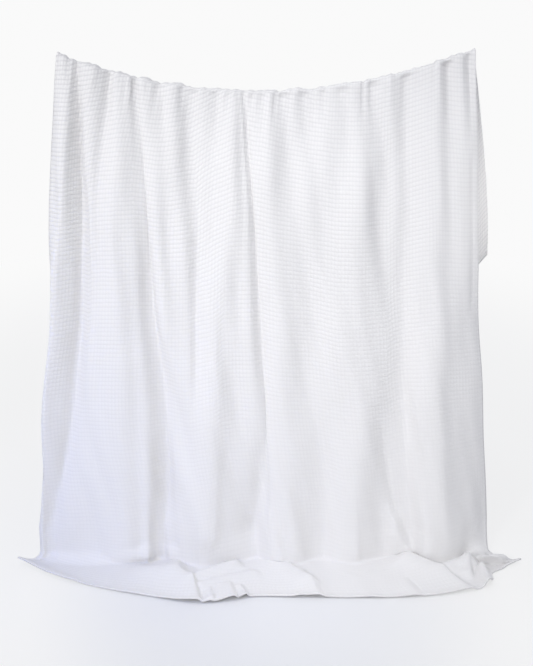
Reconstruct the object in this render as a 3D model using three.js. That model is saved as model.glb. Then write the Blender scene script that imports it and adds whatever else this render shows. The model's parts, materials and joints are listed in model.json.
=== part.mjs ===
// A white cotton quilt hung over a slack line: the long side falls to the floor in uneven folds and
// spreads forward there, the short side hangs free behind.
// Millimetres, +Z up. The front faces -Y and the floor is at z = 0.

import * as THREE from 'three';

// The cloth, laid flat
const CLOTH_THICKNESS = 3;

// The line that the cloth hangs over: lowest near the middle, higher at both ends
const LINE_LOW_HEIGHT = 1372;
const LINE_LOW_PLACE = -20;
const LINE_RISE = 115;
const LINE_HALF_SPAN = 572;
const LINE_STAND_OFF = 13;
const LINE_TOP_GAP = 9;
const LINE_TOP_PLEAT = 0.1;

// Hanging part: each level is a share of the height from the foot to the line
const FOOT_HEIGHT = 100;
const LEVELS = [
  { name: 'foot', share: 0, forward: 60 },
  { name: 'lower', share: 0.239, forward: 56 },
  { name: 'middle', share: 0.534, forward: 50 },
  { name: 'upper', share: 0.821, forward: 40 },
  { name: 'line', share: 1, forward: LINE_STAND_OFF },
];

// Folds from the left edge to the right edge: sideways place and reach toward the front at each level,
// and place and reach toward the rear at the hem of the rear side
const FOLDS = [
  {
    name: 'left edge',
    line: [-567, 1], upper: [-594, -20], middle: [-614, -25],
    lower: [-634, -36], foot: [-684, -10], rear: [-588, 0],
  },
  {
    name: 'left ridge',
    line: [-530, 6], upper: [-550, 16], middle: [-604, 13],
    lower: [-653, 8], foot: [-674, 4], rear: [-562, 16],
  },
  {
    name: 'left valley start',
    line: [-520, 0], upper: [-526, -8], middle: [-556, -4],
    lower: [-608, -4], foot: [-662, -4], rear: [-536, 4],
  },
  {
    name: 'left valley end',
    line: [-512, -1], upper: [-511, -19], middle: [-527, -26],
    lower: [-574, -24], foot: [-648, -8], rear: [-508, -16],
  },
  {
    name: 'second panel edge',
    line: [-506, 5], upper: [-498, 5], middle: [-502, 3],
    lower: [-548, -4], foot: [-618, 2], rear: [-478, -4],
  },
  {
    name: 'short ridge',
    line: [-441, 9], upper: [-478, 17], middle: [-493, 14],
    lower: [-530, 7], foot: [-575, 7], rear: [-445, 20],
  },
  {
    name: 'short valley',
    line: [-425, -4], upper: [-457, 13], middle: [-478, 20],
    lower: [-506, 14], foot: [-546, 10], rear: [-405, -8],
  },
  {
    name: 'second panel ridge',
    line: [-404, 7], upper: [-409, 33], middle: [-430, 38],
    lower: [-420, 35], foot: [-420, 31], rear: [-375, -22],
  },
  {
    name: 'second panel step',
    line: [-388, 6], upper: [-384, 29], middle: [-386, 32],
    lower: [-375, 24], foot: [-373, 20], rear: [-352, -12],
  },
  {
    name: 'second panel shoulder',
    line: [-374, 7], upper: [-368, 25], middle: [-362, 28],
    lower: [-350, 27], foot: [-354, 24], rear: [-330, 4],
  },
  {
    name: 'open valley start',
    line: [-364, -2], upper: [-346, 12], middle: [-335, 8],
    lower: [-312, 2], foot: [-330, 1], rear: [-305, 22],
  },
  {
    name: 'open valley end',
    line: [-354, -3], upper: [-336, 7], middle: [-320, 1],
    lower: [-290, -6], foot: [-306, -8], rear: [-280, 24],
  },
  {
    name: 'third panel edge',
    line: [-342, 5], upper: [-323, 19], middle: [-307, 24],
    lower: [-264, 15], foot: [-288, 14], rear: [-255, 8],
  },
  {
    name: 'third panel ridge',
    line: [-318, 8], upper: [-302, 26], middle: [-293, 32],
    lower: [-246, 23], foot: [-258, 26], rear: [-235, -10],
  },
  {
    name: 'third panel dip',
    line: [-290, 1], upper: [-274, 22], middle: [-271, 29],
    lower: [-233, 29], foot: [-240, 32], rear: [-215, -24],
  },
  {
    name: 'third panel fold',
    line: [-264, 7], upper: [-250, 18], middle: [-221, 35],
    lower: [-222, 34], foot: [-223, 38], rear: [-192, -18],
  },
  {
    name: 'third panel valley',
    line: [-226, -4], upper: [-196, 4], middle: [-198, 23],
    lower: [-208, 39], foot: [-211, 43], rear: [-168, -2],
  },
  {
    name: 'fourth panel ridge',
    line: [-169, 6], upper: [-172, 12], middle: [-160, 41],
    lower: [-185, 47], foot: [-198, 50], rear: [-132, 24],
  },
  {
    name: 'fourth panel dip',
    line: [-139, -1], upper: [-150, 15], middle: [-140, 45],
    lower: [-157, 51], foot: [-176, 52], rear: [-97, 10],
  },
  {
    name: 'fourth panel crest',
    line: [-88, 7], upper: [-92, 35], middle: [-120, 44],
    lower: [-130, 46], foot: [-150, 46], rear: [-66, -20],
  },
  {
    name: 'fourth panel slope',
    line: [-76, 4], upper: [-66, 27], middle: [-80, 37],
    lower: [-95, 38], foot: [-95, 26], rear: [-50, -21],
  },
  {
    name: 'fourth panel lip',
    line: [-70, 3], upper: [-56, 26], middle: [-42, 36],
    lower: [-28, 37], foot: [-46, 3], rear: [-36, -17],
  },
  {
    name: 'crevice start',
    line: [-64, -1], upper: [-47, 18], middle: [-25, 24],
    lower: [-8, 23], foot: [-24, -3], rear: [-18, -11],
  },
  {
    name: 'crevice end',
    line: [-58, -2], upper: [-42, 15], middle: [-18, 21],
    lower: [-1, 20], foot: [-11, 3], rear: [10, 10],
  },
  {
    name: 'fifth panel edge',
    line: [-50, 4], upper: [-36, 22], middle: [-9, 28],
    lower: [9, 28], foot: [10, 28], rear: [42, 23],
  },
  {
    name: 'fifth panel ridge',
    line: [-12, 7], upper: [-7, 31], middle: [18, 37],
    lower: [46, 38], foot: [62, 40], rear: [82, 0],
  },
  {
    name: 'fifth panel dip',
    line: [47, 2], upper: [65, 18], middle: [112, 23],
    lower: [158, 13], foot: [182, 2], rear: [130, -24],
  },
  {
    name: 'fifth panel swell',
    line: [172, 5], upper: [186, 25], middle: [203, 32],
    lower: [221, 31], foot: [227, 30], rear: [185, 8],
  },
  {
    name: 'fifth panel shoulder',
    line: [250, 8], upper: [266, 33], middle: [254, 37],
    lower: [270, 35], foot: [262, 31], rear: [230, 26],
  },
  {
    name: 'sixth valley',
    line: [284, -1], upper: [327, 5], middle: [340, 12],
    lower: [352, 2], foot: [365, -8], rear: [280, -10],
  },
  {
    name: 'sixth ridge',
    line: [340, 7], upper: [351, 9], middle: [357, 8],
    lower: [372, -3], foot: [389, -8], rear: [320, -24],
  },
  {
    name: 'seventh valley',
    line: [374, -2], upper: [384, 2], middle: [383, 3],
    lower: [403, -8], foot: [432, -14], rear: [365, 12],
  },
  {
    name: 'seventh ridge',
    line: [437, 6], upper: [438, 22], middle: [435, 25],
    lower: [454, 31], foot: [486, 30], rear: [410, 26],
  },
  {
    name: 'seventh shoulder',
    line: [464, 9], upper: [469, 29], middle: [481, 33],
    lower: [503, 35], foot: [531, 34], rear: [450, -8],
  },
  {
    name: 'eighth valley',
    line: [486, -1], upper: [498, 15], middle: [520, 16],
    lower: [538, 14], foot: [572, 8], rear: [500, -24],
  },
  {
    name: 'eighth ridge',
    line: [529, 5], upper: [535, 14], middle: [549, 8],
    lower: [575, -5], foot: [602, -20], rear: [555, 20],
  },
  {
    name: 'ninth valley',
    line: [550, -3], upper: [566, 0], middle: [589, -8],
    lower: [620, -33], foot: [652, -60], rear: [605, 2],
  },
  {
    name: 'right edge',
    line: [564, 2], upper: [577, -8], middle: [603, -20],
    lower: [642, -52], foot: [681, -84], rear: [648, 24],
  },
];

// Rear side: how far its plain stands behind the line part way down and at its hem, and the hem's height
const REAR_MIDDLE_SHARE = 0.35;
const REAR_MIDDLE_STAND_OFF = 52;
const REAR_HEM_STAND_OFF = 66;
const REAR_HEM_HEIGHTS = [
  { place: -590, height: 838 },
  { place: 0, height: 822 },
  { place: 430, height: 846 },
  { place: 606, height: 872 },
  { place: 650, height: 912 },
];

// Front hem on the floor, from the left corner to the right corner
const FRONT_HEM = [
  { x: -748, y: -82 },
  { x: -635, y: -162 },
  { x: -477, y: -235 },
  { x: -328, y: -283 },
  { x: -192, y: -319 },
  { x: -102, y: -307 },
  { x: -46, y: -288 },
  { x: 94, y: -288 },
  { x: 235, y: -290 },
  { x: 376, y: -288 },
  { x: 520, y: -269 },
  { x: 627, y: -232 },
  { x: 655, y: -203 },
  { x: 661, y: -160 },
  { x: 702, y: -125 },
  { x: 768, y: -75 },
];

// The bend from hanging to lying: its greatest reach, the share of the way to the hem that it may take,
// and the radius of its quarter round, which is tighter under the lip of the second panel
const BEND_REACH = 85;
const BEND_SHARE = 0.65;
const BEND_RADIUS = 18;
const BEND_RADIUS_SHARE = 0.6;
const LIP_RADIUS = 7;
const LIP_PLACE = -398;
const LIP_HALF_WIDTH = 40;
const LIP_STEEPNESS = 4;

// Rows of the bend from the floor up: part of the quarter round passed, and share of the upright above it
const BEND_ROWS = [
  { turned: 0, risen: 0 },
  { turned: 0.5, risen: 0 },
  { turned: 1, risen: 0 },
  { turned: 1, risen: 0.4 },
];

// The foot of the right corner swings forward, from one place along the line to another
const KICK_REACH = 40;
const KICK_START = 600;
const KICK_END = 660;
const KICK_POWER = 0.5;

// Soft ridges in the cloth on the floor: two ends, height at each end and half width
const FLOOR_RIDGES = [
  { name: 'left corner', from: [-748, -82], to: [-560, -198], heights: [13, 4], half: 24 },
  { name: 'left plate', from: [-334, -132], to: [-265, -148], heights: [18, 24], half: 40 },
  { name: 'plate fold', from: [-265, -148], to: [-222, -205], heights: [24, 24], half: 36 },
  { name: 'plate end', from: [-222, -205], to: [-198, -306], heights: [24, 12], half: 28 },
  { name: 'small ridge', from: [-222, -205], to: [-90, -104], heights: [24, 20], half: 20 },
  { name: 'front apron', from: [-190, -222], to: [-50, -152], heights: [13, 10], half: 28 },
  { name: 'first tuck', from: [-114, -228], to: [-100, -306], heights: [11, 13], half: 22 },
  { name: 'bell start', from: [44, -74], to: [126, -194], heights: [16, 18], half: 36 },
  { name: 'bell end', from: [126, -194], to: [150, -292], heights: [18, 8], half: 30 },
  { name: 'right roll start', from: [430, -66], to: [511, -148], heights: [26, 22], half: 34 },
  { name: 'right roll end', from: [511, -148], to: [592, -258], heights: [22, 8], half: 28 },
  { name: 'right bump', from: [534, -128], to: [604, -92], heights: [22, 32], half: 26 },
  { name: 'small tube', from: [632, -136], to: [636, -236], heights: [30, 18], half: 18 },
  { name: 'corner lump', from: [652, -82], to: [702, -86], heights: [40, 36], half: 24 },
  { name: 'right corner', from: [716, -104], to: [764, -82], heights: [6, 4], half: 18 },
];

// Fineness of the faces
const STEPS_PER_FOLD = 2;
const FLOOR_STEPS = 8;
const FRONT_STEPS = 13;
const OVER_STEPS = 4;
const REAR_STEPS = 7;

const CLOTH_COLOUR = '#e6e7ec';
const CLOTH_ROUGHNESS = 0.92;

function lineHeight(x) {
  const share = (x - LINE_LOW_PLACE) / (LINE_HALF_SPAN - LINE_LOW_PLACE);
  return LINE_LOW_HEIGHT + LINE_RISE * share * share;
}

// Smooth value at a place between knots, by a cubic whose slopes are weighted over uneven spacing
function smoothValue(places, values, place) {
  const last = places.length - 1;
  let i = 0;
  while (i < last - 1 && place > places[i + 1]) {
    i += 1;
  }
  const slopeAt = (k) => {
    if (k === 0) {
      return (values[1] - values[0]) / (places[1] - places[0]);
    }
    if (k === last) {
      return (values[last] - values[last - 1]) / (places[last] - places[last - 1]);
    }
    const before = places[k] - places[k - 1];
    const after = places[k + 1] - places[k];
    const slopeBefore = (values[k] - values[k - 1]) / before;
    const slopeAfter = (values[k + 1] - values[k]) / after;
    return (slopeBefore * after + slopeAfter * before) / (before + after);
  };
  const span = places[i + 1] - places[i];
  const t = (place - places[i]) / span;
  const t2 = t * t;
  const t3 = t2 * t;
  return (2 * t3 - 3 * t2 + 1) * values[i] + (t3 - 2 * t2 + t) * span * slopeAt(i)
    + (-2 * t3 + 3 * t2) * values[i + 1] + (t3 - t2) * span * slopeAt(i + 1);
}

// A row of knots [x, y] across the cloth becomes a smooth run of points, the same count for each fold
function smoothRow(knots) {
  const places = [0];
  for (let i = 1; i < knots.length; i += 1) {
    const step = Math.hypot(knots[i][0] - knots[i - 1][0], knots[i][1] - knots[i - 1][1]);
    places.push(places[i - 1] + Math.max(step, 1));
  }
  const xs = knots.map((knot) => knot[0]);
  const ys = knots.map((knot) => knot[1]);
  const points = [];
  for (let i = 0; i < knots.length - 1; i += 1) {
    for (let s = 0; s < STEPS_PER_FOLD; s += 1) {
      const place = places[i] + (places[i + 1] - places[i]) * s / STEPS_PER_FOLD;
      points.push([smoothValue(places, xs, place), smoothValue(places, ys, place)]);
    }
  }
  points.push(knots[knots.length - 1].slice());
  return points;
}

// Section of the hanging front at a share of its height: points [x, forward reach]
function frontSection(share) {
  const shares = LEVELS.map((level) => level.share);
  const plain = smoothValue(shares, LEVELS.map((level) => level.forward), share);
  const knots = FOLDS.map((fold) => {
    const x = smoothValue(shares, LEVELS.map((level) => fold[level.name][0]), share);
    const reach = smoothValue(shares, LEVELS.map((level) => fold[level.name][1]), share);
    return [x, plain + reach];
  });
  return smoothRow(knots);
}

// Section of the rear side at a share of its drop from the line: points [x, rearward reach]
function rearSection(share) {
  const spread = Math.sin(share * Math.PI / 2);
  const plain = smoothValue([0, REAR_MIDDLE_SHARE, 1],
    [LINE_STAND_OFF, REAR_MIDDLE_STAND_OFF, REAR_HEM_STAND_OFF], share);
  const knots = FOLDS.map((fold) => {
    const x = fold.line[0] + (fold.rear[0] - fold.line[0]) * spread;
    const reach = fold.line[1] + (fold.rear[1] - fold.line[1]) * spread;
    return [x, plain + reach];
  });
  return smoothRow(knots);
}

// Share of the way across the cloth at each point of a row
function sharesAcross(points) {
  const lengths = [0];
  for (let i = 1; i < points.length; i += 1) {
    const step = Math.hypot(points[i][0] - points[i - 1][0], points[i][1] - points[i - 1][1]);
    lengths.push(lengths[i - 1] + step);
  }
  return lengths.map((length) => length / lengths[lengths.length - 1]);
}

// Point of the front hem at a share of its length
function hemPoint(share) {
  const knots = FRONT_HEM.map((point) => [point.x, point.y]);
  const places = sharesAcross(knots);
  return [
    smoothValue(places, knots.map((knot) => knot[0]), share),
    smoothValue(places, knots.map((knot) => knot[1]), share),
  ];
}

// Height of the soft ridges at a point of the floor
function ridgeHeight(x, y) {
  let height = 0;
  for (const ridge of FLOOR_RIDGES) {
    const runX = ridge.to[0] - ridge.from[0];
    const runY = ridge.to[1] - ridge.from[1];
    const along = ((x - ridge.from[0]) * runX + (y - ridge.from[1]) * runY) / (runX * runX + runY * runY);
    const held = Math.min(1, Math.max(0, along));
    const away = Math.hypot(x - ridge.from[0] - held * runX, y - ridge.from[1] - held * runY);
    const crest = ridge.heights[0] + (ridge.heights[1] - ridge.heights[0]) * held;
    height = Math.max(height, crest * Math.exp(-((away / ridge.half) ** 2)));
  }
  return height;
}

// Radius of the bend at a place along the foot, where the bend has the given reach
function bendRadius(x, bend) {
  const plain = Math.min(BEND_RADIUS, bend * BEND_RADIUS_SHARE);
  const tight = Math.exp(-(((x - LIP_PLACE) / LIP_HALF_WIDTH) ** LIP_STEEPNESS));
  return plain + (LIP_RADIUS - plain) * tight;
}

// Forward swing of the foot at a place along it
function kickReach(x) {
  return KICK_REACH * THREE.MathUtils.clamp((x - KICK_START) / (KICK_END - KICK_START), 0, 1);
}

// One row of the lying part: steps from the hem (0) along the floor and up the bend to the foot
function floorRow(step, foot, across) {
  const rest = CLOTH_THICKNESS / 2;
  return foot.map((point, column) => {
    const hem = hemPoint(across[column]);
    const footX = point[0];
    const kick = kickReach(footX);
    const footY = -point[1] - kick;
    const reach = Math.hypot(hem[0] - footX, hem[1] - footY);
    const bend = Math.min(BEND_REACH, reach * BEND_SHARE);
    const radius = bendRadius(footX, bend);
    let travel = 0;
    let height = 0;
    let risen = 0;
    if (step <= FLOOR_STEPS) {
      travel = (reach - bend) * (1 - step / FLOOR_STEPS) + bend;
    } else {
      const bendRow = BEND_ROWS[step - FLOOR_STEPS - 1];
      const angle = bendRow.turned * Math.PI / 2;
      risen = bendRow.risen;
      travel = radius * (1 - Math.sin(angle));
      height = radius * (1 - Math.cos(angle)) + risen * (FOOT_HEIGHT - rest - radius);
    }
    const x = footX + (hem[0] - footX) * travel / reach;
    const y = footY + (hem[1] - footY) * travel / reach + kick * risen ** KICK_POWER;
    const raised = ridgeHeight(x, y) * (1 - height / FOOT_HEIGHT);
    return new THREE.Vector3(x, y, rest + Math.hypot(height, raised));
  });
}

// Rows of the middle surface from the front hem, up the front, over the line and down the rear
function clothRows() {
  const rows = [];
  const foot = frontSection(0);
  const across = sharesAcross(foot);
  for (let step = 0; step <= FLOOR_STEPS + BEND_ROWS.length; step += 1) {
    rows.push(floorRow(step, foot, across));
  }
  const atLine = frontSection(1);
  for (let step = 0; step <= FRONT_STEPS; step += 1) {
    const share = step / FRONT_STEPS;
    const section = frontSection(share);
    rows.push(section.map((point, column) => {
      const top = lineHeight(atLine[column][0]);
      return new THREE.Vector3(point[0], -point[1], FOOT_HEIGHT + (top - FOOT_HEIGHT) * share);
    }));
  }
  for (let step = 1; step < OVER_STEPS; step += 1) {
    const angle = step / OVER_STEPS * Math.PI;
    rows.push(atLine.map((point) => {
      const gap = LINE_TOP_GAP + LINE_TOP_PLEAT * (point[1] - LINE_STAND_OFF);
      return new THREE.Vector3(
        point[0], -point[1] * Math.cos(angle), lineHeight(point[0]) + gap * Math.sin(angle));
    }));
  }
  for (let step = 0; step <= REAR_STEPS; step += 1) {
    const share = step / REAR_STEPS;
    const section = rearSection(share);
    rows.push(section.map((point, column) => {
      const top = lineHeight(atLine[column][0]);
      const hem = smoothValue(REAR_HEM_HEIGHTS.map((row) => row.place),
        REAR_HEM_HEIGHTS.map((row) => row.height), point[0]);
      return new THREE.Vector3(point[0], point[1], top + (hem - top) * share);
    }));
  }
  return rows;
}

// Direction between two neighbours of a point, split evenly between the step in and the step out
function splitDirection(before, here, after) {
  const stepIn = new THREE.Vector3().subVectors(here, before).normalize();
  const stepOut = new THREE.Vector3().subVectors(after, here).normalize();
  return stepIn.add(stepOut);
}

// Direction out of the cloth's front face at a point of the rows
function faceDirection(rows, i, j) {
  const here = rows[i][j];
  const above = rows[Math.min(i + 1, rows.length - 1)][j];
  const below = rows[Math.max(i - 1, 0)][j];
  const right = rows[i][Math.min(j + 1, rows[i].length - 1)];
  const left = rows[i][Math.max(j - 1, 0)];
  const up = splitDirection(below, here, above);
  const side = splitDirection(left, here, right);
  return side.cross(up).normalize();
}

// Closed thin solid: both faces of the cloth at half its thickness from the rows, joined round the edge
function clothGeometry(rows) {
  const rowCount = rows.length;
  const columnCount = rows[0].length;
  const positions = [];
  for (const side of [1, -1]) {
    for (let i = 0; i < rowCount; i += 1) {
      for (let j = 0; j < columnCount; j += 1) {
        const away = faceDirection(rows, i, j).multiplyScalar(side * CLOTH_THICKNESS / 2);
        const point = rows[i][j].clone().add(away);
        positions.push(point.x, point.y, Math.max(0, point.z));
      }
    }
  }
  const front = (i, j) => i * columnCount + j;
  const rear = (i, j) => rowCount * columnCount + front(i, j);
  const indices = [];
  const quad = (a, b, c, d) => indices.push(a, b, c, a, c, d);
  for (let i = 0; i < rowCount - 1; i += 1) {
    for (let j = 0; j < columnCount - 1; j += 1) {
      quad(front(i, j), front(i, j + 1), front(i + 1, j + 1), front(i + 1, j));
      quad(rear(i, j), rear(i + 1, j), rear(i + 1, j + 1), rear(i, j + 1));
    }
    const end = columnCount - 1;
    quad(front(i, 0), front(i + 1, 0), rear(i + 1, 0), rear(i, 0));
    quad(front(i, end), rear(i, end), rear(i + 1, end), front(i + 1, end));
  }
  const top = rowCount - 1;
  for (let j = 0; j < columnCount - 1; j += 1) {
    quad(front(0, j), rear(0, j), rear(0, j + 1), front(0, j + 1));
    quad(front(top, j), front(top, j + 1), rear(top, j + 1), rear(top, j));
  }
  const geometry = new THREE.BufferGeometry();
  geometry.setAttribute('position', new THREE.Float32BufferAttribute(positions, 3));
  geometry.setIndex(indices);
  geometry.computeVertexNormals();
  return geometry;
}

const quilt = new THREE.Mesh(
  clothGeometry(clothRows()),
  new THREE.MeshStandardMaterial({ color: CLOTH_COLOUR, roughness: CLOTH_ROUGHNESS, metalness: 0 }),
);
quilt.name = 'quilt';

// The origin is on the floor under the middle of the quilt's box
quilt.geometry.computeBoundingBox();
const box = quilt.geometry.boundingBox;
quilt.position.set(-(box.min.x + box.max.x) / 2, -(box.min.y + box.max.y) / 2, -box.min.z);

const part = new THREE.Group();
part.add(quilt);

export default part;
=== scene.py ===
"""A white cotton quilt hung over a slack line, its long side pooled on a pale floor."""
import json
import math

import bpy
import numpy as np
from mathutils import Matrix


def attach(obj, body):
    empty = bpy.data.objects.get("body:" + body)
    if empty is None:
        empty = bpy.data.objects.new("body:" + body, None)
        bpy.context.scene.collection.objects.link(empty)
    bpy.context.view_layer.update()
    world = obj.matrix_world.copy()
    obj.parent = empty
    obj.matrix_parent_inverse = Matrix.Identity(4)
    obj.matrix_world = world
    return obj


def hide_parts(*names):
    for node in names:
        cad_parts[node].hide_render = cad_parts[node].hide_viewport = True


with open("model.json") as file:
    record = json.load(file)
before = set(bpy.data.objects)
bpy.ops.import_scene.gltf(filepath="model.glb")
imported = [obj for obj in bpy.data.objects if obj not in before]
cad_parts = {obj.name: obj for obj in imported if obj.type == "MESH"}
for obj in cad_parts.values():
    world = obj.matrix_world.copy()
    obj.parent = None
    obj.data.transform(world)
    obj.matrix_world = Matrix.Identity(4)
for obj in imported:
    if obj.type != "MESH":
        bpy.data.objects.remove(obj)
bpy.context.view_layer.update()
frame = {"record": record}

# One millimetre in metres, and the seed of all random draws
MM = 0.001
SEED = 41

# The quilt laid flat and its sewn squares, in metres
CUT_WIDTH = 1.68
CUT_LENGTH = 2.18
CELL_PITCH = 0.012

# Half thickness in mm, plain and along the doubled edge, and the width of that edge
CLOTH_HALF = 1.5
EDGE_HALF = 2.3
EDGE_WIDTH = 14

# The line that the cloth hangs over, in mm: its lowest point, its rise toward the right end, how far the
# cloth stands off it, the bow of the cloth over it, and the share of a fold's reach that the bow follows
LINE_LOW_HEIGHT = 1372
LINE_LOW_PLACE = -20
LINE_RISE = 115
LINE_HALF_SPAN = 572
LINE_STAND_OFF = 13
LINE_TOP_GAP = 9
LINE_TOP_PLEAT = 0.1

# Levels of the hanging front: height of the foot in mm, share of the height from the foot to the line, and
# how far forward of the line the cloth hangs there, in mm
FOOT_HEIGHT = 100
LEVEL_NAMES = ("foot", "lower", "middle", "upper", "line")
LEVEL_SHARES = (0, 0.239, 0.534, 0.821, 1)
LEVEL_FORWARD = (60, 56, 50, 40, LINE_STAND_OFF)

# Folds from left to right, in mm: sideways place and reach toward the front at each level, place and reach
# toward the rear at the rear hem, and how far the quilting rows have climbed at that fold
FOLD_COLUMNS = ("name", "line", "upper", "middle", "lower", "foot", "rear", "climb")
FOLD_ROWS = (
    ("left edge", (-567, 1), (-594, -20), (-614, -25), (-634, -36), (-684, -10), (-588, 0), 0),
    ("left ridge", (-530, 6), (-550, 16), (-604, 13), (-653, 8), (-674, 4), (-562, 16), 0),
    ("left valley start", (-520, 0), (-526, -8), (-556, -4), (-608, -4), (-662, -4), (-536, 4), 6),
    ("left valley end", (-512, -1), (-511, -19), (-527, -26), (-574, -24), (-648, -8), (-508, -16), 8),
    ("second panel edge", (-506, 5), (-498, 5), (-502, 3), (-548, -4), (-618, 2), (-478, -4), 8),
    ("short ridge", (-441, 9), (-478, 17), (-493, 14), (-530, 7), (-575, 7), (-445, 20), 18),
    ("short valley", (-425, -4), (-457, 13), (-478, 20), (-506, 14), (-546, 10), (-405, -8), 22),
    ("second panel ridge", (-404, 7), (-409, 33), (-430, 38), (-420, 35), (-420, 31), (-375, -22), 30),
    ("second panel step", (-388, 6), (-384, 29), (-386, 32), (-375, 24), (-373, 20), (-352, -12), 31),
    ("second panel shoulder", (-374, 7), (-368, 25), (-362, 28), (-350, 27), (-354, 24), (-330, 4), 32),
    ("open valley start", (-364, -2), (-346, 12), (-335, 8), (-312, 2), (-330, 1), (-305, 22), 26),
    ("open valley end", (-354, -3), (-336, 7), (-320, 1), (-290, -6), (-306, -8), (-280, 24), 22),
    ("third panel edge", (-342, 5), (-323, 19), (-307, 24), (-264, 15), (-288, 14), (-255, 8), 20),
    ("third panel ridge", (-318, 8), (-302, 26), (-293, 32), (-246, 23), (-258, 26), (-235, -10), 17),
    ("third panel dip", (-290, 1), (-274, 22), (-271, 29), (-233, 29), (-240, 32), (-215, -24), 16),
    ("third panel fold", (-264, 7), (-250, 18), (-221, 35), (-222, 34), (-223, 38), (-192, -18), 20),
    ("third panel valley", (-226, -4), (-196, 4), (-198, 23), (-208, 39), (-211, 43), (-168, -2), 28),
    ("fourth panel ridge", (-169, 6), (-172, 12), (-160, 41), (-185, 47), (-198, 50), (-132, 24), 48),
    ("fourth panel dip", (-139, -1), (-150, 15), (-140, 45), (-157, 51), (-176, 52), (-97, 10), 62),
    ("fourth panel crest", (-88, 7), (-92, 35), (-120, 44), (-130, 46), (-150, 46), (-66, -20), 88),
    ("fourth panel slope", (-76, 4), (-66, 27), (-80, 37), (-95, 38), (-95, 26), (-50, -21), 92),
    ("fourth panel lip", (-70, 3), (-56, 26), (-42, 36), (-28, 37), (-46, 3), (-36, -17), 93),
    ("crevice start", (-64, -1), (-47, 18), (-25, 24), (-8, 23), (-24, -3), (-18, -11), 92),
    ("crevice end", (-58, -2), (-42, 15), (-18, 21), (-1, 20), (-11, 3), (10, 10), 88),
    ("fifth panel edge", (-50, 4), (-36, 22), (-9, 28), (9, 28), (10, 28), (42, 23), 86),
    ("fifth panel ridge", (-12, 7), (-7, 31), (18, 37), (46, 38), (62, 40), (82, 0), 80),
    ("fifth panel dip", (47, 2), (65, 18), (112, 23), (158, 13), (182, 2), (130, -24), 60),
    ("fifth panel swell", (172, 5), (186, 25), (203, 32), (221, 31), (227, 30), (185, 8), 37),
    ("fifth panel shoulder", (250, 8), (266, 33), (254, 37), (270, 35), (262, 31), (230, 26), 37),
    ("sixth valley", (284, -1), (327, 5), (340, 12), (352, 2), (365, -8), (280, -10), 40),
    ("sixth ridge", (340, 7), (351, 9), (357, 8), (372, -3), (389, -8), (320, -24), 55),
    ("seventh valley", (374, -2), (384, 2), (383, 3), (403, -8), (432, -14), (365, 12), 67),
    ("seventh ridge", (437, 6), (438, 22), (435, 25), (454, 31), (486, 30), (410, 26), 88),
    ("seventh shoulder", (464, 9), (469, 29), (481, 33), (503, 35), (531, 34), (450, -8), 100),
    ("eighth valley", (486, -1), (498, 15), (520, 16), (538, 14), (572, 8), (500, -24), 95),
    ("eighth ridge", (529, 5), (535, 14), (549, 8), (575, -5), (602, -20), (555, 20), 92),
    ("ninth valley", (550, -3), (566, 0), (589, -8), (620, -33), (652, -60), (605, 2), 90),
    ("right edge", (564, 2), (577, -8), (603, -20), (642, -52), (681, -84), (648, 24), 88),
)
FOLDS = [dict(zip(FOLD_COLUMNS, row)) for row in FOLD_ROWS]
FOLD_KNOTS = np.array([[fold[level] for fold in FOLDS] for level in LEVEL_NAMES], float)

# Least width of a fold that counts where columns are spaced, in mm
LEAST_FOLD_WIDTH = 1

# Share of the climb of the quilting rows that is left at the foot
CLIMB_KEPT_AT_FOOT = 0.3

# Rear side, in mm: how far behind the line it hangs at shares of its drop, and the height of its hem at
# sideways places
REAR_SHARES = (0, 0.35, 1)
REAR_STAND_OFFS = (LINE_STAND_OFF, 52, 66)
REAR_HEM_PLACES = (-590, 0, 430, 606, 650)
REAR_HEM_HEIGHTS = (838, 822, 846, 872, 912)

# Front hem on the floor, from the left corner to the right corner, in mm
FRONT_HEM = (
    (-748, -82), (-635, -162), (-477, -235), (-328, -283), (-192, -319), (-102, -307), (-46, -288),
    (94, -288), (235, -290), (376, -288), (520, -269), (627, -232), (655, -203), (661, -160), (702, -125),
    (768, -75),
)

# The bend from hanging to lying, in mm: its reach, at most and as a share of the lying cloth, and its
# radius, at most and as a share of that reach
BEND_REACH = 85
BEND_SHARE = 0.65
BEND_RADIUS = 7
BEND_RADIUS_SHARE = 0.6

# A wider bend at the left end and a tight one under the left lip, in mm
BEND_WIDE_RADIUS = 42
BEND_WIDE_START = -440
BEND_WIDE_END = -520
BEND_TIGHT_RADIUS = 5
BEND_TIGHT_PLACE = -398
BEND_TIGHT_HALF = 40
BEND_TIGHT_STEEPNESS = 4

# The right end of the foot swings forward, in mm: how far, between which places, and how soon it swings
# back on the way up
KICK_REACH = 84
KICK_START = 600
KICK_END = 660
KICK_POWER = 0.2

# The cloth from its front hem to the foot, in mm: its length when flat, and the rise and width of the curl
# along the hem
FLOOR_LENGTH = 270
HEM_CURL = 4
HEM_CURL_WIDTH = 16

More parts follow.
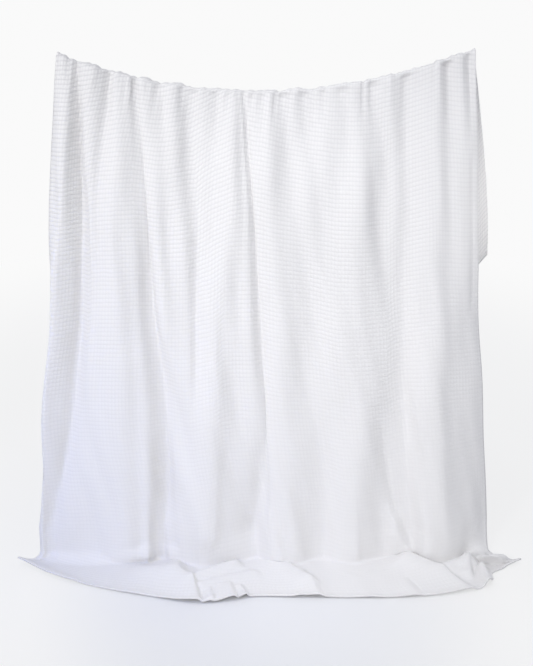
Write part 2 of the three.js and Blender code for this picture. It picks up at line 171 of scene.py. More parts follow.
# Ridges in the lying cloth, in mm: two ends, height at each end, half width on the left and on the right as
# one goes from start to end, and how far the crest leans to the right
RIDGE_COLUMNS = ("name", "start", "end", "heights", "halves", "lean")
RIDGE_ROWS = (
    ("left corner", (-748, -82), (-560, -198), (13, 4), (24, 24), 0),
    ("left plate", (-334, -132), (-265, -148), (18, 24), (14, 70), 0),
    ("third panel ramp", (-272, -100), (-262, -150), (12, 22), (22, 26), 0),
    ("plate fold", (-265, -148), (-222, -205), (24, 24), (14, 60), 0),
    ("plate end", (-222, -205), (-198, -306), (24, 12), (12, 50), -10),
    ("small ridge", (-222, -205), (-90, -104), (24, 20), (11, 20), -6),
    ("front apron", (-190, -222), (-50, -152), (13, 10), (13, 40), 0),
    ("first tuck", (-114, -228), (-100, -306), (11, 13), (14, 34), -10),
    ("left tuft", (-166, -246), (-158, -304), (8, 14), (9, 16), -6),
    ("middle tuft", (-134, -232), (-140, -286), (12, 9), (10, 14), 0),
    ("right tuft", (-78, -236), (-58, -304), (9, 12), (10, 22), -6),
    ("bell start", (44, -74), (126, -194), (16, 18), (12, 60), 0),
    ("bell end", (126, -194), (150, -292), (18, 8), (12, 46), 0),
    ("second tuck", (94, -240), (100, -294), (6, 6), (22, 18), 0),
    ("right crease", (396, -146), (424, -262), (0, 8), (10, 40), 0),
    ("right roll start", (430, -66), (511, -148), (26, 22), (12, 60), -8),
    ("right roll end", (511, -148), (592, -258), (22, 8), (10, 50), -6),
    ("right bump", (534, -128), (604, -92), (22, 32), (14, 34), -6),
    ("bump end", (602, -94), (596, -156), (34, 18), (8, 40), -6),
    ("small tube", (632, -136), (636, -236), (30, 18), (16, 10), -4),
    ("corner lump", (646, -76), (706, -80), (40, 36), (30, 10), 34),
    ("right corner", (716, -104), (764, -82), (6, 4), (14, 14), 0),
)
RIDGES = [dict(zip(RIDGE_COLUMNS, row)) for row in RIDGE_ROWS]

# Ridges that meet are joined softly: the higher this power, the sharper the join
RIDGE_JOIN = 5

# Small creases of the hanging front, in mm: two ends (sideways, height), forward reach at each end (troughs
# are negative), and half width on the left and on the right as one goes from start to end
CREASE_COLUMNS = ("name", "start", "end", "heights", "halves")
CREASE_ROWS = (
    ("left notch", (-510, 1472), (-517, 1350), (-4, -1), (7, 12)),
    ("first", (-430, 1440), (-425, 1250), (-5, -2), (7, 18)),
    ("second", (-361, 1420), (-350, 1300), (-3, -1), (7, 18)),
    ("third", (-290, 1392), (-277, 1300), (-5, -3), (7, 9)),
    ("fourth", (-240, 1390), (-226, 1180), (-1.5, -1), (22, 10)),
    ("fifth", (-196, 1385), (-188, 1280), (-5, -2), (8, 14)),
    ("sixth", (-143, 1380), (-128, 1230), (-5, -3), (9, 18)),
    ("seventh", (-100, 1378), (-96, 1310), (-4, -1), (8, 10)),
    ("eighth", (-38, 1376), (-35, 1290), (-5, -1), (8, 10)),
    ("ninth", (-10, 1376), (-8, 1290), (-5, -1), (8, 10)),
    ("tenth", (48, 1376), (58, 1200), (-7, -2), (14, 18)),
    ("eleventh", (100, 1382), (106, 1240), (-7, -2), (9, 14)),
    ("twelfth", (152, 1389), (160, 1290), (-5, -1), (8, 12)),
    ("thirteenth", (204, 1396), (222, 1230), (-8, -3), (16, 18)),
    ("fourteenth", (284, 1412), (296, 1240), (-6, -3), (20, 12)),
    ("fifteenth", (374, 1424), (380, 1230), (-7, -3), (22, 9)),
    ("sixteenth", (486, 1452), (495, 1310), (-10, -4), (18, 14)),
    ("seventeenth", (545, 1480), (556, 1250), (-4, -3), (7, 10)),
    ("eighteenth", (563, 1200), (584, 780), (-5, -5), (8, 6)),
    ("second panel side", (-402, 620), (-396, 80), (6, 6), (45, 40)),
    ("open valley foot", (-290, 400), (-280, 60), (-2, -16), (14, 28)),
    ("third panel side", (-134, 600), (-156, 100), (3, 10), (16, 60)),
    ("fourth panel hollow", (-30, 600), (-38, 110), (-3, -14), (16, 100)),
    ("long low start", (325, 496), (345, 339), (-2, -4), (22, 9)),
    ("long low end", (345, 339), (383, 161), (-4, -6), (28, 10)),
    ("fifth panel step", (262, 250), (275, 40), (2, 5), (8, 40)),
    ("bell start", (20, 150), (34, 85), (2, 6), (8, 30)),
    ("bell end", (34, 85), (50, 15), (6, 10), (8, 30)),
    ("triangle start", (376, 152), (402, 88), (5, 15), (8, 28)),
    ("triangle end", (402, 88), (430, 32), (15, 18), (10, 34)),
    ("left lip", (-440, 24), (-360, 26), (3, 18), (34, 16)),
)
CREASES = [dict(zip(CREASE_COLUMNS, row)) for row in CREASE_ROWS]

# Creases come in on the way up the bend: share of the bend where they start, and the share over which they
# reach full depth
CREASE_START = 0.45
CREASE_SPREAD = 0.1

# Fineness of the mesh: column pitch in mm, least columns for each fold, and rows for each stretch
COLUMN_PITCH = 8.1
LEAST_STEPS = 3
FLOOR_STEPS = 38
BEND_STEPS = 24
FRONT_STEPS = 96
OVER_STEPS = 8
REAR_STEPS = 29

# Rows of the mesh where its stretches meet
FOOT_ROW = FLOOR_STEPS + BEND_STEPS
LINE_ROW = FOOT_ROW + FRONT_STEPS

# Small pleats at the line, in mm, and how unevenly they are spaced
PLEAT_DEPTH = 2.2
PLEAT_FADE = 75
PLEAT_PITCHES = (31, 47)
PLEAT_WANDER = 0.6
PLEAT_WANDER_PITCH = 310

# Slight waves of the whole cloth, in mm, and the share of them that is left on the floor
WAVE_COUNT = 16
WAVE_DEPTH = 0.7
WAVE_ACROSS = (60, 220)
WAVE_ALONG = (250, 800)
WAVE_KEPT_ON_FLOOR = 0.35

# Shortest length that is divided by
LEAST_LENGTH = 1e-9

# Name of the map from the mesh to the flat cloth
FLAT_MAP = "flat_cloth"

rng = np.random.default_rng(SEED)


def eased(share):
    """A share from 0 to 1 with a soft start and a soft end."""
    return share * share * (3 - 2 * share)


def line_height(x):
    """Height of the sagging line at a sideways place."""
    share = (x - LINE_LOW_PLACE) / (LINE_HALF_SPAN - LINE_LOW_PLACE)
    return LINE_LOW_HEIGHT + LINE_RISE * share**2


def smooth_values(places, values, wanted):
    """Values of a smooth curve through knots with uneven spacing. Each value may be an array."""
    places = np.asarray(places, float)
    values = np.asarray(values, float)
    wanted = np.asarray(wanted, float)
    wide = (-1,) + (1,) * (values.ndim - 1)
    steps = np.diff(places).reshape(wide)
    between = np.diff(values, axis=0) / steps
    slopes = np.empty_like(values)
    slopes[0] = between[0]
    slopes[-1] = between[-1]
    slopes[1:-1] = (between[:-1] * steps[1:] + between[1:] * steps[:-1]) / (steps[:-1] + steps[1:])
    spot = np.clip(np.searchsorted(places, wanted, side="left") - 1, 0, len(places) - 2)
    span = np.diff(places)[spot].reshape(wide)
    part = (wanted - places[spot]).reshape(wide) / span
    return (
        (2 * part**3 - 3 * part**2 + 1) * values[spot]
        + (part**3 - 2 * part**2 + part) * span * slopes[spot]
        + (3 * part**2 - 2 * part**3) * values[spot + 1]
        + (part**3 - part**2) * span * slopes[spot + 1]
    )


def lengths_along(points):
    """Distance of each point along a run of points, from the first."""
    steps = np.linalg.norm(np.diff(points, axis=0), axis=1)
    return np.concatenate(([0.0], np.cumsum(steps)))


def column_places():
    """Fold gap and part of the gap for each column of the mesh: more columns where a fold is wide."""
    widths = np.linalg.norm(np.diff(FOLD_KNOTS, axis=1), axis=2).max(axis=0)
    gaps = []
    parts = []
    for gap, width in enumerate(widths):
        steps = max(LEAST_STEPS, round(width / COLUMN_PITCH))
        gaps += [gap] * steps
        parts += [step / steps for step in range(steps)]
    gaps.append(len(widths) - 1)
    parts.append(1.0)
    return np.array(gaps), np.array(parts)


COLUMN_GAPS, COLUMN_PARTS = column_places()


def smooth_row(knots):
    """A row of fold knots becomes one point for each column."""
    steps = np.maximum(np.linalg.norm(np.diff(knots, axis=0), axis=1), LEAST_FOLD_WIDTH)
    places = np.concatenate(([0.0], np.cumsum(steps)))
    wanted = places[COLUMN_GAPS] + steps[COLUMN_GAPS] * COLUMN_PARTS
    return smooth_values(places, knots, wanted)


def front_section(share):
    """Points [sideways, forward] of the hanging front at a share of its height."""
    knots = smooth_values(LEVEL_SHARES, FOLD_KNOTS, [share])[0]
    knots[:, 1] += smooth_values(LEVEL_SHARES, LEVEL_FORWARD, [share])[0]
    return smooth_row(knots)


def rear_section(share):
    """Points [sideways, rearward] of the rear side at a share of its drop."""
    at_line = np.array([fold["line"] for fold in FOLDS], float)
    at_hem = np.array([fold["rear"] for fold in FOLDS], float)
    knots = at_line + (at_hem - at_line) * math.sin(share * math.pi / 2)
    knots[:, 1] += smooth_values(REAR_SHARES, REAR_STAND_OFFS, [share])[0]
    return smooth_row(knots)


def ridges_at(ridges, u, v):
    """Height of each ridge at points (u, v) of a plane. The two sides of a ridge may differ in width."""
    heights = []
    for ridge in ridges:
        start = np.array(ridge["start"], float)
        run = np.array(ridge["end"], float) - start
        length = np.hypot(*run)
        along = ((u - start[0]) * run[0] + (v - start[1]) * run[1]) / length
        aside = ((v - start[1]) * run[0] - (u - start[0]) * run[1]) / length
        half = np.where(aside > 0, ridge["halves"][0], ridge["halves"][1])
        beyond = np.maximum(np.maximum(-along, along - length), 0) / np.mean(ridge["halves"])
        crest = np.interp(along, (0, length), ridge["heights"])
        heights.append(crest * np.exp(-((aside / half) ** 2) - beyond**2))
    return np.array(heights)


def ridge_lean(ridges, raised):
    """Sideways shift of points on leaning ridges, toward the right as one goes from start to end."""
    shift = np.zeros((2, raised.shape[1]))
    for ridge, height in zip(ridges, raised):
        run = np.subtract(ridge["end"], ridge["start"])
        to_right = np.array((run[1], -run[0])) / np.hypot(*run)
        shift += np.outer(to_right, ridge["lean"] * height / max(ridge["heights"]))
    return shift


def bend_radius(foot_x, bend):
    """Radius of the bend at places along the foot."""
    wide = eased(np.clip((BEND_WIDE_START - foot_x) / (BEND_WIDE_START - BEND_WIDE_END), 0, 1))
    radius = BEND_RADIUS + (BEND_WIDE_RADIUS - BEND_RADIUS) * wide
    radius = np.minimum(radius, bend * BEND_RADIUS_SHARE)
    tight = np.exp(-(((foot_x - BEND_TIGHT_PLACE) / BEND_TIGHT_HALF) ** BEND_TIGHT_STEEPNESS))
    return radius + (BEND_TIGHT_RADIUS - radius) * tight


def floor_rows(foot):
    """Rows from the front hem along the floor and up the bend, short of the foot."""
    across = lengths_along(foot)
    hem_knots = np.array(FRONT_HEM, float)
    hem_places = lengths_along(hem_knots)
    hem = smooth_values(hem_places, hem_knots, across / across[-1] * hem_places[-1])
    foot_x = foot[:, 0]
    kick = KICK_REACH * np.clip((foot_x - KICK_START) / (KICK_END - KICK_START), 0, 1)
    foot_y = -foot[:, 1] - kick
    reach = np.hypot(hem[:, 0] - foot_x, hem[:, 1] - foot_y)
    bend = np.minimum(BEND_REACH, reach * BEND_SHARE)
    radius = bend_radius(foot_x, bend)
    flat = bend - radius
    turn = radius * math.pi / 2
    upright = FOOT_HEIGHT - CLOTH_HALF - radius
    rows = []
    for step in range(FLOOR_STEPS + BEND_STEPS):
        if step <= FLOOR_STEPS:
            travel = (reach - bend) * (1 - step / FLOOR_STEPS) + bend
            height = np.zeros_like(reach)
            risen = np.zeros_like(reach)
        else:
            gone = (step - FLOOR_STEPS) / BEND_STEPS * (flat + turn + upright)
            angle = np.clip((gone - flat) / radius, 0, math.pi / 2)
            risen = np.maximum(gone - flat - turn, 0)
            travel = np.where(gone < flat, bend - gone, radius * (1 - np.sin(angle)))
            height = radius * (1 - np.cos(angle)) + risen
        x = foot_x + (hem[:, 0] - foot_x) * travel / reach
        y = foot_y + (hem[:, 1] - foot_y) * travel / reach + kick * (risen / upright) ** KICK_POWER
        raised = ridges_at(RIDGES, x, y) * (1 - height / FOOT_HEIGHT)
        joined = (raised**RIDGE_JOIN).sum(axis=0) ** (1 / RIDGE_JOIN)
        lean_x, lean_y = ridge_lean(RIDGES, raised)
        curl = HEM_CURL * np.exp(-(((reach - travel) / HEM_CURL_WIDTH) ** 2))
        z = CLOTH_HALF + curl + np.hypot(height, joined)
        rows.append(np.column_stack((x + lean_x, y + lean_y, z)))
    return rows


def cloth_rows():
    """Middle surface of the cloth, in mm: rows from the front hem over the line to the rear hem."""
    at_line = front_section(1)
    top = line_height(at_line[:, 0])
    rows = floor_rows(front_section(0))
    for step in range(FRONT_STEPS + 1):
        share = step / FRONT_STEPS
        section = front_section(share)
        height = FOOT_HEIGHT + (top - FOOT_HEIGHT) * share
        rows.append(np.column_stack((section[:, 0], -section[:, 1], height)))
    gap = LINE_TOP_GAP + LINE_TOP_PLEAT * (at_line[:, 1] - LINE_STAND_OFF)
    for step in range(1, OVER_STEPS):
        angle = step / OVER_STEPS * math.pi
        rows.append(np.column_stack(
            (at_line[:, 0], -at_line[:, 1] * math.cos(angle), top + gap * math.sin(angle))))
    for step in range(REAR_STEPS + 1):
        share = step / REAR_STEPS
        section = rear_section(share)
        hem = smooth_values(REAR_HEM_PLACES, REAR_HEM_HEIGHTS, section[:, 0])
        rows.append(np.column_stack((section[:, 0], section[:, 1], top + (hem - top) * share)))
    return np.array(rows)


def flat_places(rows):
    """Place of each point on the flat cloth, in metres from the left edge and from the front hem."""
    across = np.array([lengths_along(row) for row in rows])
    across = across / across[:, -1:] * CUT_WIDTH
    steps = np.linalg.norm(np.diff(rows, axis=0), axis=2)
    travelled = np.concatenate((np.zeros((1, rows.shape[1])), np.cumsum(steps, axis=0)))
    climb_knots = np.array([fold["climb"] for fold in FOLDS], float)
    climb = climb_knots[COLUMN_GAPS] * (1 - COLUMN_PARTS) + climb_knots[COLUMN_GAPS + 1] * COLUMN_PARTS
    along = np.empty(rows.shape[:2])
    front = rows[FOOT_ROW:LINE_ROW + 1, :, 2] - FOOT_HEIGHT
    share = front / front[-1:]
    kept = CLIMB_KEPT_AT_FOOT + (1 - CLIMB_KEPT_AT_FOOT) * share
    along[FOOT_ROW:LINE_ROW + 1] = (FLOOR_LENGTH + front - climb * kept) * MM
    floor_share = travelled[:FOOT_ROW] / travelled[FOOT_ROW]
    along[:FOOT_ROW] = floor_share * along[FOOT_ROW]
    back = travelled[LINE_ROW + 1:] - travelled[LINE_ROW]
    back_share = back / back[-1:]
    along[LINE_ROW + 1:] = along[LINE_ROW] + (CUT_LENGTH - along[LINE_ROW]) * back_share
    return across, along


def face_directions(rows):
    """Direction out of the cloth's front face at each point, split evenly between neighbouring steps."""
    def split(axis):
        steps = np.diff(rows, axis=axis)
        steps /= np.maximum(np.linalg.norm(steps, axis=2, keepdims=True), LEAST_LENGTH)
        first = np.take(steps, [0], axis=axis)
        last = np.take(steps, [-1], axis=axis)
        before = np.concatenate((first, steps), axis=axis)
        after = np.concatenate((steps, last), axis=axis)
        return before + after
    out = np.cross(split(1), split(0))
    return out / np.maximum(np.linalg.norm(out, axis=2, keepdims=True), LEAST_LENGTH)


def unevenness(across, along):
    """Slight waviness of the whole cloth, in mm."""
    height = np.zeros_like(across)
    for _ in range(WAVE_COUNT):
        wave_across = rng.uniform(*WAVE_ACROSS) * MM
        wave_along = rng.uniform(*WAVE_ALONG) * MM
        phase = rng.uniform(0, 2 * math.pi)
        lean = rng.choice((-1, 1))
        turns = across / wave_across + lean * along / wave_along
        height += WAVE_DEPTH * np.sin(2 * math.pi * turns + phase)
    return height


def line_pleats(across, drop):
    """Small pleats where the cloth passes over the line, in mm, fading with the drop below it."""
    height = np.zeros_like(across)
    for pitch in PLEAT_PITCHES:
        phase = rng.uniform(0, 2 * math.pi)
        wander = PLEAT_WANDER * np.sin(2 * math.pi * across / (PLEAT_WANDER_PITCH * MM) + phase)
        height += np.sin(2 * math.pi * across / (pitch * MM) + phase + wander)
    return PLEAT_DEPTH / len(PLEAT_PITCHES) * height * np.exp(-((drop / PLEAT_FADE) ** 2))


def shaped_rows():
    """Middle surface with its fine shapes, and the place of each point on the flat cloth."""
    rows = cloth_rows()
    across, along = flat_places(rows)
    out = face_directions(rows)
    hanging = np.zeros(rows.shape[:2])
    hanging[FOOT_ROW:] = 1.0
    hanging[FLOOR_STEPS:FOOT_ROW] = np.linspace(0, 1, BEND_STEPS)[:, None]
    drop = np.maximum(line_height(rows[:, :, 0]) - rows[:, :, 2], 0)
    relief = unevenness(across, along) * (WAVE_KEPT_ON_FLOOR + (1 - WAVE_KEPT_ON_FLOOR) * hanging)
    relief += line_pleats(across, drop) * hanging
    rows = rows + out * relief[:, :, None]
    front = slice(FLOOR_STEPS, LINE_ROW + 1)
    creases = ridges_at(CREASES, rows[front, :, 0], rows[front, :, 2])
    relief = np.maximum(creases.max(axis=0), 0) + np.minimum(creases.min(axis=0), 0)
    risen = np.clip((hanging[front] - CREASE_START) / CREASE_SPREAD, 0, 1)
    rows[front, :, 1] -= relief * risen
    return rows, across, along


def edge_halves(across, along):
    """Half thickness of the cloth: plain inside, doubled along the four edges."""
    away = np.minimum(np.minimum(across, CUT_WIDTH - across), np.minimum(along, CUT_LENGTH - along)) / MM
    share = np.clip(1 - away / EDGE_WIDTH, 0, 1)
    return CLOTH_HALF + (EDGE_HALF - CLOTH_HALF) * eased(share)


def sheet_faces(row_count, column_count):
    """Corners of each four-sided face of a closed sheet: front side, rear side, then the four edges."""
    count = row_count * column_count
    index = np.arange(count).reshape(row_count, column_count)
    low = index[:-1, :-1].ravel()
    right = index[:-1, 1:].ravel()
    across_up = index[1:, 1:].ravel()
    up = index[1:, :-1].ravel()
    border = np.concatenate((index[0, :], index[1:, -1], index[-1, -2::-1], index[-2:0:-1, 0]))
    following = np.roll(border, -1)
    return np.concatenate((
        np.column_stack((low, right, across_up, up)),
        np.column_stack((low, up, across_up, right)) + count,
        np.column_stack((border, border + count, following + count, following)),
    ))


def cloth_mesh(name):
    """Closed thin mesh of the quilt, with its flat places as the UV map."""
    rows, across, along = shaped_rows()
    out = face_directions(rows)
    halves = edge_halves(across, along)[:, :, None]
    faces_out = rows + out * halves
    faces_in = rows - out * halves
    for points in (faces_out, faces_in):
        points[:, :, 2] = np.maximum(points[:, :, 2], 0)
    quads = sheet_faces(*across.shape)
    points = np.concatenate((faces_out.reshape(-1, 3), faces_in.reshape(-1, 3))) * MM
    line_mount = next(mount for mount in frame["record"]["mounts"] if mount["name"] == "line")
    points[:, 0] += line_mount["pos_m"][0]
    points[:, 1] += line_mount["pos_m"][1]
    mesh = bpy.data.meshes.new(name)
    mesh.vertices.add(len(points))
    mesh.vertices.foreach_set("co", points.astype(np.float32).ravel())
    mesh.loops.add(quads.size)
    mesh.loops.foreach_set("vertex_index", quads.astype(np.int32).ravel())
    mesh.polygons.add(len(quads))
    mesh.polygons.foreach_set("loop_start", np.arange(0, quads.size, quads.shape[1], dtype=np.int32))
    mesh.polygons.foreach_set("use_smooth", np.ones(len(quads), dtype=bool))
    places = np.tile(np.column_stack((across.ravel(), along.ravel())), (2, 1))
    mesh.update(calc_edges=True)
    layer = mesh.uv_layers.new(name=FLAT_MAP)
    layer.data.foreach_set("uv", places[quads.ravel()].astype(np.float32).ravel())
    mesh.validate()
    return mesh


class Nodes:
    """Short ways to add and join shader nodes of one tree."""

    def __init__(self, tree):
        self.tree = tree

    def add(self, kind, **inputs):
        node = self.tree.nodes.new(kind)
        for name, value in inputs.items():
            self.put(node.inputs[name.replace("_", " ")], value)
        return node

    def put(self, socket, value):
        if isinstance(value, bpy.types.NodeSocket):
            self.tree.links.new(value, socket)
        else:
            socket.default_value = value

    def calculate(self, operation, first, second=0.0, third=None):
        node = self.tree.nodes.new("ShaderNodeMath")
        node.operation = operation
        self.put(node.inputs[0], first)
        self.put(node.inputs[1], second)
        if third is not None:
            self.put(node.inputs[2], third)
        return node.outputs[0]

    def mix(self, share, first, second):
        node = self.tree.nodes.new("ShaderNodeMixShader")
        self.put(node.inputs[0], share)
        self.put(node.inputs[1], first)
        self.put(node.inputs[2], second)
        return node.outputs[0]


def new_material(name):
    material = bpy.data.materials.new(name)
    material.use_nodes = True
    material.node_tree.nodes.clear()
    return material, Nodes(material.node_tree)


# Cotton: puff colour, painted shade colour of the stitch rows, how much of that shade shows, and how
# narrowly
CLOTH_WHITE = (0.874, 0.863, 0.85, 1)
STITCH_PAINTED_SHADE_WHITE = (0.71, 0.7, 0.7, 1)
STITCH_SHADE = 0.62
STITCH_POWER = 2.0

# Puffs of the sewn squares: depth in metres, roundness, and the share of the depth that the upright stitch
# rows sink
PUFF_DEPTH = 0.001
PUFF_POWER = 0.7
PUFF_ACROSS = 0.7

# Crispness of the puffs at the left front corner, and its change for each metre across and along; it also
# scales the painted stitch-row shade, which is strongest high up at the left
CRISP_AT_CORNER = 0.56
CRISP_ACROSS = -0.16
CRISP_ALONG = 0.47

# Wander of the stitch rows in metres, and the noise that drives it
WANDER_REACH = 0.006
WANDER_SCALE = 9.0
WANDER_DETAIL = 2.0

# Weave: depth in metres, and its noise
WEAVE_DEPTH = 0.00025
WEAVE_SCALE = 700.0
WEAVE_DETAIL = 3.0

# Light on and through the cotton
COTTON_ROUGHNESS = 0.92
COTTON_SPECULAR = 0.25
SHEEN_WEIGHT = 0.12
SHEEN_ROUGHNESS = 0.5
THROUGH_SHARE = 0.13
THROUGH_COLOUR = (0.95, 0.92, 0.88, 1)

# Sockets of a node that mixes colours
MIX_SHARE = 0
MIX_FIRST = 6
MIX_SECOND = 7
MIX_RESULT = 2


def cotton_material():
    """White cotton sewn in small squares: puffed cells, stitch rows darkened with painted shade, and a fine
    weave.
    """
    material, nodes = new_material("quilted_cotton")
    flat = nodes.add("ShaderNodeUVMap")
    flat.uv_map = FLAT_MAP
    wander = nodes.add("ShaderNodeTexNoise", Vector=flat.outputs[0],
                       Scale=WANDER_SCALE, Detail=WANDER_DETAIL)
    parts = nodes.add("ShaderNodeSeparateXYZ", Vector=flat.outputs[0])
    drift = nodes.add("ShaderNodeSeparateXYZ", Vector=wander.outputs["Color"])

    def swell(axis):
        shifted = nodes.calculate("MULTIPLY_ADD", drift.outputs[axis], WANDER_REACH, parts.outputs[axis])
        turned = nodes.calculate("MULTIPLY", shifted, math.pi / CELL_PITCH)
        return nodes.calculate("ABSOLUTE", nodes.calculate("SINE", turned))

    across = nodes.calculate("POWER", swell(0), PUFF_POWER)
    along = nodes.calculate("POWER", swell(1), PUFF_POWER)
    across_kept = nodes.calculate("MULTIPLY_ADD", across, PUFF_ACROSS, 1 - PUFF_ACROSS)
    crisp_and_shade_strength = nodes.calculate("MULTIPLY_ADD", parts.outputs[0], CRISP_ACROSS, CRISP_AT_CORNER)
    crisp_and_shade_strength = nodes.calculate("MULTIPLY_ADD", parts.outputs[1], CRISP_ALONG, crisp_and_shade_strength)
    puff = nodes.calculate("MULTIPLY", nodes.calculate("MULTIPLY", along, across_kept), crisp_and_shade_strength)
    weave = nodes.add("ShaderNodeTexNoise", Vector=flat.outputs[0],
                      Scale=WEAVE_SCALE, Detail=WEAVE_DETAIL)
    puff_bump = nodes.add("ShaderNodeBump", Strength=1.0, Distance=PUFF_DEPTH, Height=puff)
    weave_bump = nodes.add("ShaderNodeBump", Strength=1.0, Distance=WEAVE_DEPTH,
                           Height=weave.outputs["Fac"], Normal=puff_bump.outputs[0])
    # Painted shade: the stitch rows are darkened in colour where the puffs dip, more where the puffs are
    # crisper
    groove_painted_shade = nodes.calculate("SUBTRACT", crisp_and_shade_strength, puff)
    groove_painted_shade = nodes.calculate("MULTIPLY", nodes.calculate("POWER", groove_painted_shade, STITCH_POWER), STITCH_SHADE)
    colour = nodes.add("ShaderNodeMix")
    colour.data_type = "RGBA"
    nodes.put(colour.inputs[MIX_SHARE], groove_painted_shade)
    nodes.put(colour.inputs[MIX_FIRST], CLOTH_WHITE)
    nodes.put(colour.inputs[MIX_SECOND], STITCH_PAINTED_SHADE_WHITE)
    shader = nodes.add("ShaderNodeBsdfPrincipled", Base_Color=colour.outputs[MIX_RESULT],
                       Normal=weave_bump.outputs[0])
    shader.inputs["Roughness"].default_value = COTTON_ROUGHNESS
    shader.inputs["Specular IOR Level"].default_value = COTTON_SPECULAR
    shader.inputs["Sheen Weight"].default_value = SHEEN_WEIGHT
    shader.inputs["Sheen Roughness"].default_value = SHEEN_ROUGHNESS
    through = nodes.add("ShaderNodeBsdfTranslucent", Color=THROUGH_COLOUR)
    cloth = nodes.mix(THROUGH_SHARE, shader.outputs[0], through.outputs[0])
    nodes.add("ShaderNodeOutputMaterial", Surface=cloth)
    return material


def new_object(name, data):
    thing = bpy.data.objects.new(name, data)
    bpy.context.scene.collection.objects.link(thing)
    return thing


# Backdrop, and the round floor, in metres, a little below the cloth
BACKGROUND = (0.955, 0.955, 0.955, 1)
BACKGROUND_STRENGTH = 1.0
FLOOR_RADIUS = 14.0
FLOOR_SIDES = 96
FLOOR_DROP = 0.0004

# Floor: its colour, its colour as a source of bounced light, and its fade into a painted glow as bright as
# the backdrop, as distances in metres with the share of glow there, sideways distances counting for more
FLOOR_COLOUR = (0.775, 0.775, 0.775, 1)
BOUNCE_COLOUR = (0.7, 0.7, 0.71, 1)
FADE_SIDEWAYS = 1.9
FADE_REACH = 6.0
FADE_STOPS = ((0.45, 0.0), (1.35, 0.75), (2.2, 0.8), (FADE_REACH, 1.0))


def floor_material():
    """Pale floor that fades into a painted glow as bright as the backdrop away from the quilt."""
    material, nodes = new_material("pale_floor")
    place = nodes.add("ShaderNodeTexCoord")
    parts = nodes.add("ShaderNodeSeparateXYZ", Vector=place.outputs["Object"])
    aside = nodes.calculate("MULTIPLY", parts.outputs[0], FADE_SIDEWAYS)
    aside_squared = nodes.calculate("MULTIPLY", aside, aside)
    ahead_squared = nodes.calculate("MULTIPLY", parts.outputs[1], parts.outputs[1])
    away = nodes.calculate("SQRT", nodes.calculate("ADD", aside_squared, ahead_squared))
    fade = nodes.add("ShaderNodeValToRGB", Fac=nodes.calculate("DIVIDE", away, FADE_REACH))
    fade.color_ramp.interpolation = "EASE"
    while len(fade.color_ramp.elements) < len(FADE_STOPS):
        fade.color_ramp.elements.new(1.0)
    for element, (place_out, share) in zip(fade.color_ramp.elements, FADE_STOPS):
        element.position = place_out / FADE_REACH
        element.color = (share, share, share, 1)
    # Painted light: away from the quilt the floor glows like the backdrop instead of being lit, sooner at
    # the sides
    plain = nodes.add("ShaderNodeBsdfDiffuse", Color=FLOOR_COLOUR)
    glow = nodes.add("ShaderNodeEmission", Color=BACKGROUND, Strength=BACKGROUND_STRENGTH)
    lit_floor_into_painted_glow = nodes.mix(fade.outputs[0], plain.outputs[0], glow.outputs[0])
    bounce = nodes.add("ShaderNodeBsdfDiffuse", Color=BOUNCE_COLOUR)
    path = nodes.add("ShaderNodeLightPath")
    surface = nodes.mix(path.outputs["Is Camera Ray"], bounce.outputs[0], lit_floor_into_painted_glow)
    nodes.add("ShaderNodeOutputMaterial", Surface=surface)
    return material


def make_floor():
    turns = np.linspace(0, 2 * math.pi, FLOOR_SIDES, endpoint=False)
    rim = [(FLOOR_RADIUS * math.cos(turn), FLOOR_RADIUS * math.sin(turn), 0.0) for turn in turns]
    mesh = bpy.data.meshes.new("floor")
    mesh.from_pydata(rim, [], [list(range(len(rim)))])
    mesh.materials.append(floor_material())
    floor = new_object("floor", mesh)
    floor.location.z = -FLOOR_DROP


# Surroundings as a light: brightness on all sides, what is added behind the quilt, and colour
LIGHT_PLAIN = 0.7
LIGHT_FROM_BEHIND = 0.1
LIGHT_COLOUR = (0.965, 0.989, 1.066, 1)


def make_world():
    """Plain surroundings: a bright backdrop to look at, and a softer light that is stronger from behind."""
    world = bpy.data.worlds.new("bright_surroundings")
    world.use_nodes = True
    world.node_tree.nodes.clear()
    nodes = Nodes(world.node_tree)
    place = nodes.add("ShaderNodeTexCoord")
    parts = nodes.add("ShaderNodeSeparateXYZ", Vector=place.outputs["Generated"])
    behind = nodes.calculate("MAXIMUM", parts.outputs[1], 0.0)
    strength = nodes.calculate("MULTIPLY_ADD", behind, LIGHT_FROM_BEHIND, LIGHT_PLAIN)
    glow = nodes.add("ShaderNodeBackground", Color=LIGHT_COLOUR, Strength=strength)
    seen = nodes.add("ShaderNodeBackground", Color=BACKGROUND, Strength=BACKGROUND_STRENGTH)
    path = nodes.add("ShaderNodeLightPath")
    surroundings = nodes.mix(path.outputs["Is Camera Ray"], glow.outputs[0], seen.outputs[0])
    nodes.add("ShaderNodeOutputWorld", Surface=surroundings)
    bpy.context.scene.world = world


def aim(thing, target):
    """Turn a light toward a point."""
    direction = np.array(target, float) - np.array(thing.location)
    flat = math.hypot(direction[0], direction[1])
    thing.rotation_euler = (math.atan2(flat, -direction[2]), 0, math.atan2(-direction[0], direction[1]))


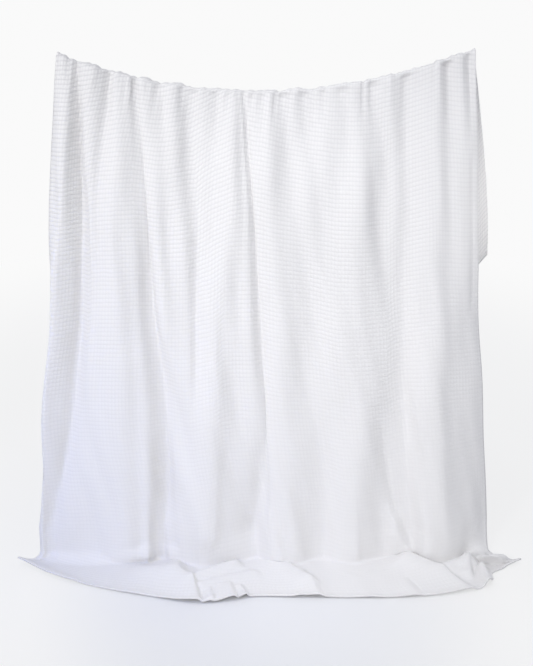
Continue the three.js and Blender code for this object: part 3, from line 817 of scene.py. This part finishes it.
# Lights: place, target and lamp radius in metres, cone in degrees, power in watts, and colour
STUDIO_WHITE = (0.985, 0.984, 1.0)
LIGHT_EDGE_SOFTNESS = 1.0
LIGHT_COLUMNS = ("name", "place", "target", "radius", "cone", "power", "colour")
LIGHT_ROWS = (
    ("key", (-2.6, -5.2, 2.9), (0, 0, 0.9), 0.5, 40, 345, STUDIO_WHITE),
    ("key_middle", (-2.6, -5.2, 2.9), (-0.02, 0, 0.88), 0.5, 18, 205, STUDIO_WHITE),
    ("front", (0.3, -5.5, 3.5), (-0.2, 0, 0.75), 0.5, 30, 160, STUDIO_WHITE),
    ("side", (-4.6, -3.4, 2.5), (-0.3, 0, 1.28), 0.5, 24, 260, STUDIO_WHITE),
    ("overhead", (0.15, -0.75, 3.2), (0.15, -0.24, 0), 0.5, 30, 105, (0.955, 0.97, 1.03)),
    ("cool_low", (-2.2, -2.1, 2.4), (-0.84, -0.08, 0.34), 0.5, 27, 100, (0.0, 0.16, 1.0)),
    ("warm_right", (3.0, -1.0, 1.7), (0.71, 0.29, 1.1), 0.2, 13, 210, (1.0, 0.98, 0.95)),
)


def make_lights():
    for row in LIGHT_ROWS:
        told = dict(zip(LIGHT_COLUMNS, row))
        data = bpy.data.lights.new(told["name"], "SPOT")
        data.shadow_soft_size = told["radius"]
        data.spot_size = math.radians(told["cone"])
        data.spot_blend = LIGHT_EDGE_SOFTNESS
        data.energy = told["power"]
        data.color = told["colour"]
        light = new_object(told["name"], data)
        light.location = told["place"]
        aim(light, told["target"])


# Camera: place in metres, tilt up from straight down in degrees, lens and sensor in mm, and how far it sees,
# in metres
CAMERA_PLACE = (-0.010, -2.742, 1.46)
CAMERA_TILT = 75
CAMERA_LENS = 54.865
CAMERA_SENSOR = 36
CAMERA_FAR = 60


def make_camera():
    data = bpy.data.cameras.new("camera")
    data.lens = CAMERA_LENS
    data.sensor_width = CAMERA_SENSOR
    data.clip_end = CAMERA_FAR
    camera = new_object("camera", data)
    camera.location = CAMERA_PLACE
    camera.rotation_euler = (math.radians(CAMERA_TILT), 0, 0)
    bpy.context.scene.camera = camera


make_camera()
make_world()
make_floor()
make_lights()
bpy.context.scene.view_settings.view_transform = "Standard"

quilt_mesh = cloth_mesh("quilt_cloth")
quilt_mesh.materials.append(cotton_material())
quilt = new_object("quilt_cloth", quilt_mesh)
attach(quilt, "root")
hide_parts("quilt")
